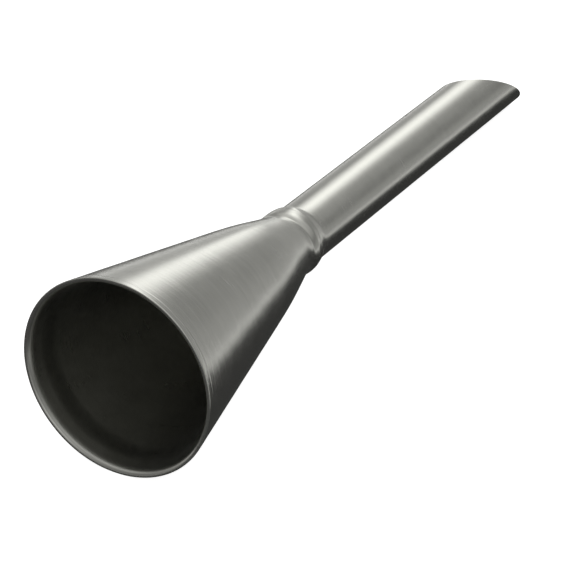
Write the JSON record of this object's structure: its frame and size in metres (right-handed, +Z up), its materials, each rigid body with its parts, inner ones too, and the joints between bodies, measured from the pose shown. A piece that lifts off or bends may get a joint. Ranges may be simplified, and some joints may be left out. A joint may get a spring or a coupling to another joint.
{
  "type": "filling nozzle",
  "caption": "Long steel filling nozzle: a slender cone with a folded round lip, a short neck, and a straight brazed tube whose tip is cut on a slant.",
  "frame": {"origin": "Centre of the underside of the bounding box, on the surface that the nozzle lies on", "axes": "+Z up; the nozzle lies on z = 0 with its mouth facing -Y and its tip towards +Y, its axis sloping 4.6 degrees down to the tip; +X is the right of someone who looks into the mouth"},
  "size_m": [0.025, 0.1066, 0.0249],
  "materials": {
    "cone_steel": "satin stainless sheet with fine lines around the cone",
    "tube_steel": "smoother satin stainless tube",
    "braze": "filed and polished braze bead"
  },
  "bodies": {
    "root": {"cone_shell": "cone_steel", "outlet_tube": "tube_steel", "braze_ring": "braze"}
  },
  "joints": []
}
